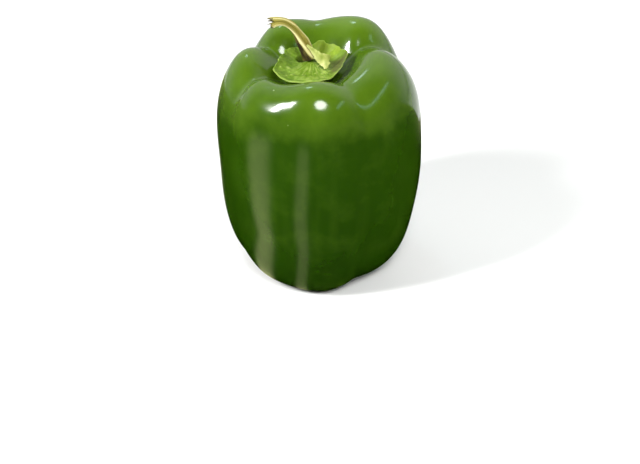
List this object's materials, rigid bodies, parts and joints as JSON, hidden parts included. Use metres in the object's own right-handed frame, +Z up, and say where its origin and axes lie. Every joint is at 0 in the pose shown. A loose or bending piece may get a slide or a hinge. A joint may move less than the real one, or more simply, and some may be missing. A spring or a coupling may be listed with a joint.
{
  "type": "bell pepper",
  "caption": "Fresh green bell pepper with blunt lobes, a sunken stem cavity, a ragged calyx and a dried, bent stem; stands on its blossom end.",
  "frame": {"origin": "on the surface that the pepper stands on, under the middle of its box", "axes": "+Z up, from the blossom end to the stem; +X to the right and +Y away, seen from the side towards which the long groove of the stem faces"},
  "size_m": [0.0874, 0.0874, 0.1178],
  "materials": {
    "skin": "smooth waxy skin with a wet-looking gloss",
    "calyx": "matt, slightly wrinkled green tissue",
    "stem": "dry, fibrous straw",
    "torn_flap": "dry, pale, papery tissue",
    "style": "withered and brown"
  },
  "bodies": {
    "root": {"fruit": "skin", "calyx": "calyx", "stem": "stem", "torn_flap": "torn_flap", "style_stub": "style"}
  },
  "joints": []
}
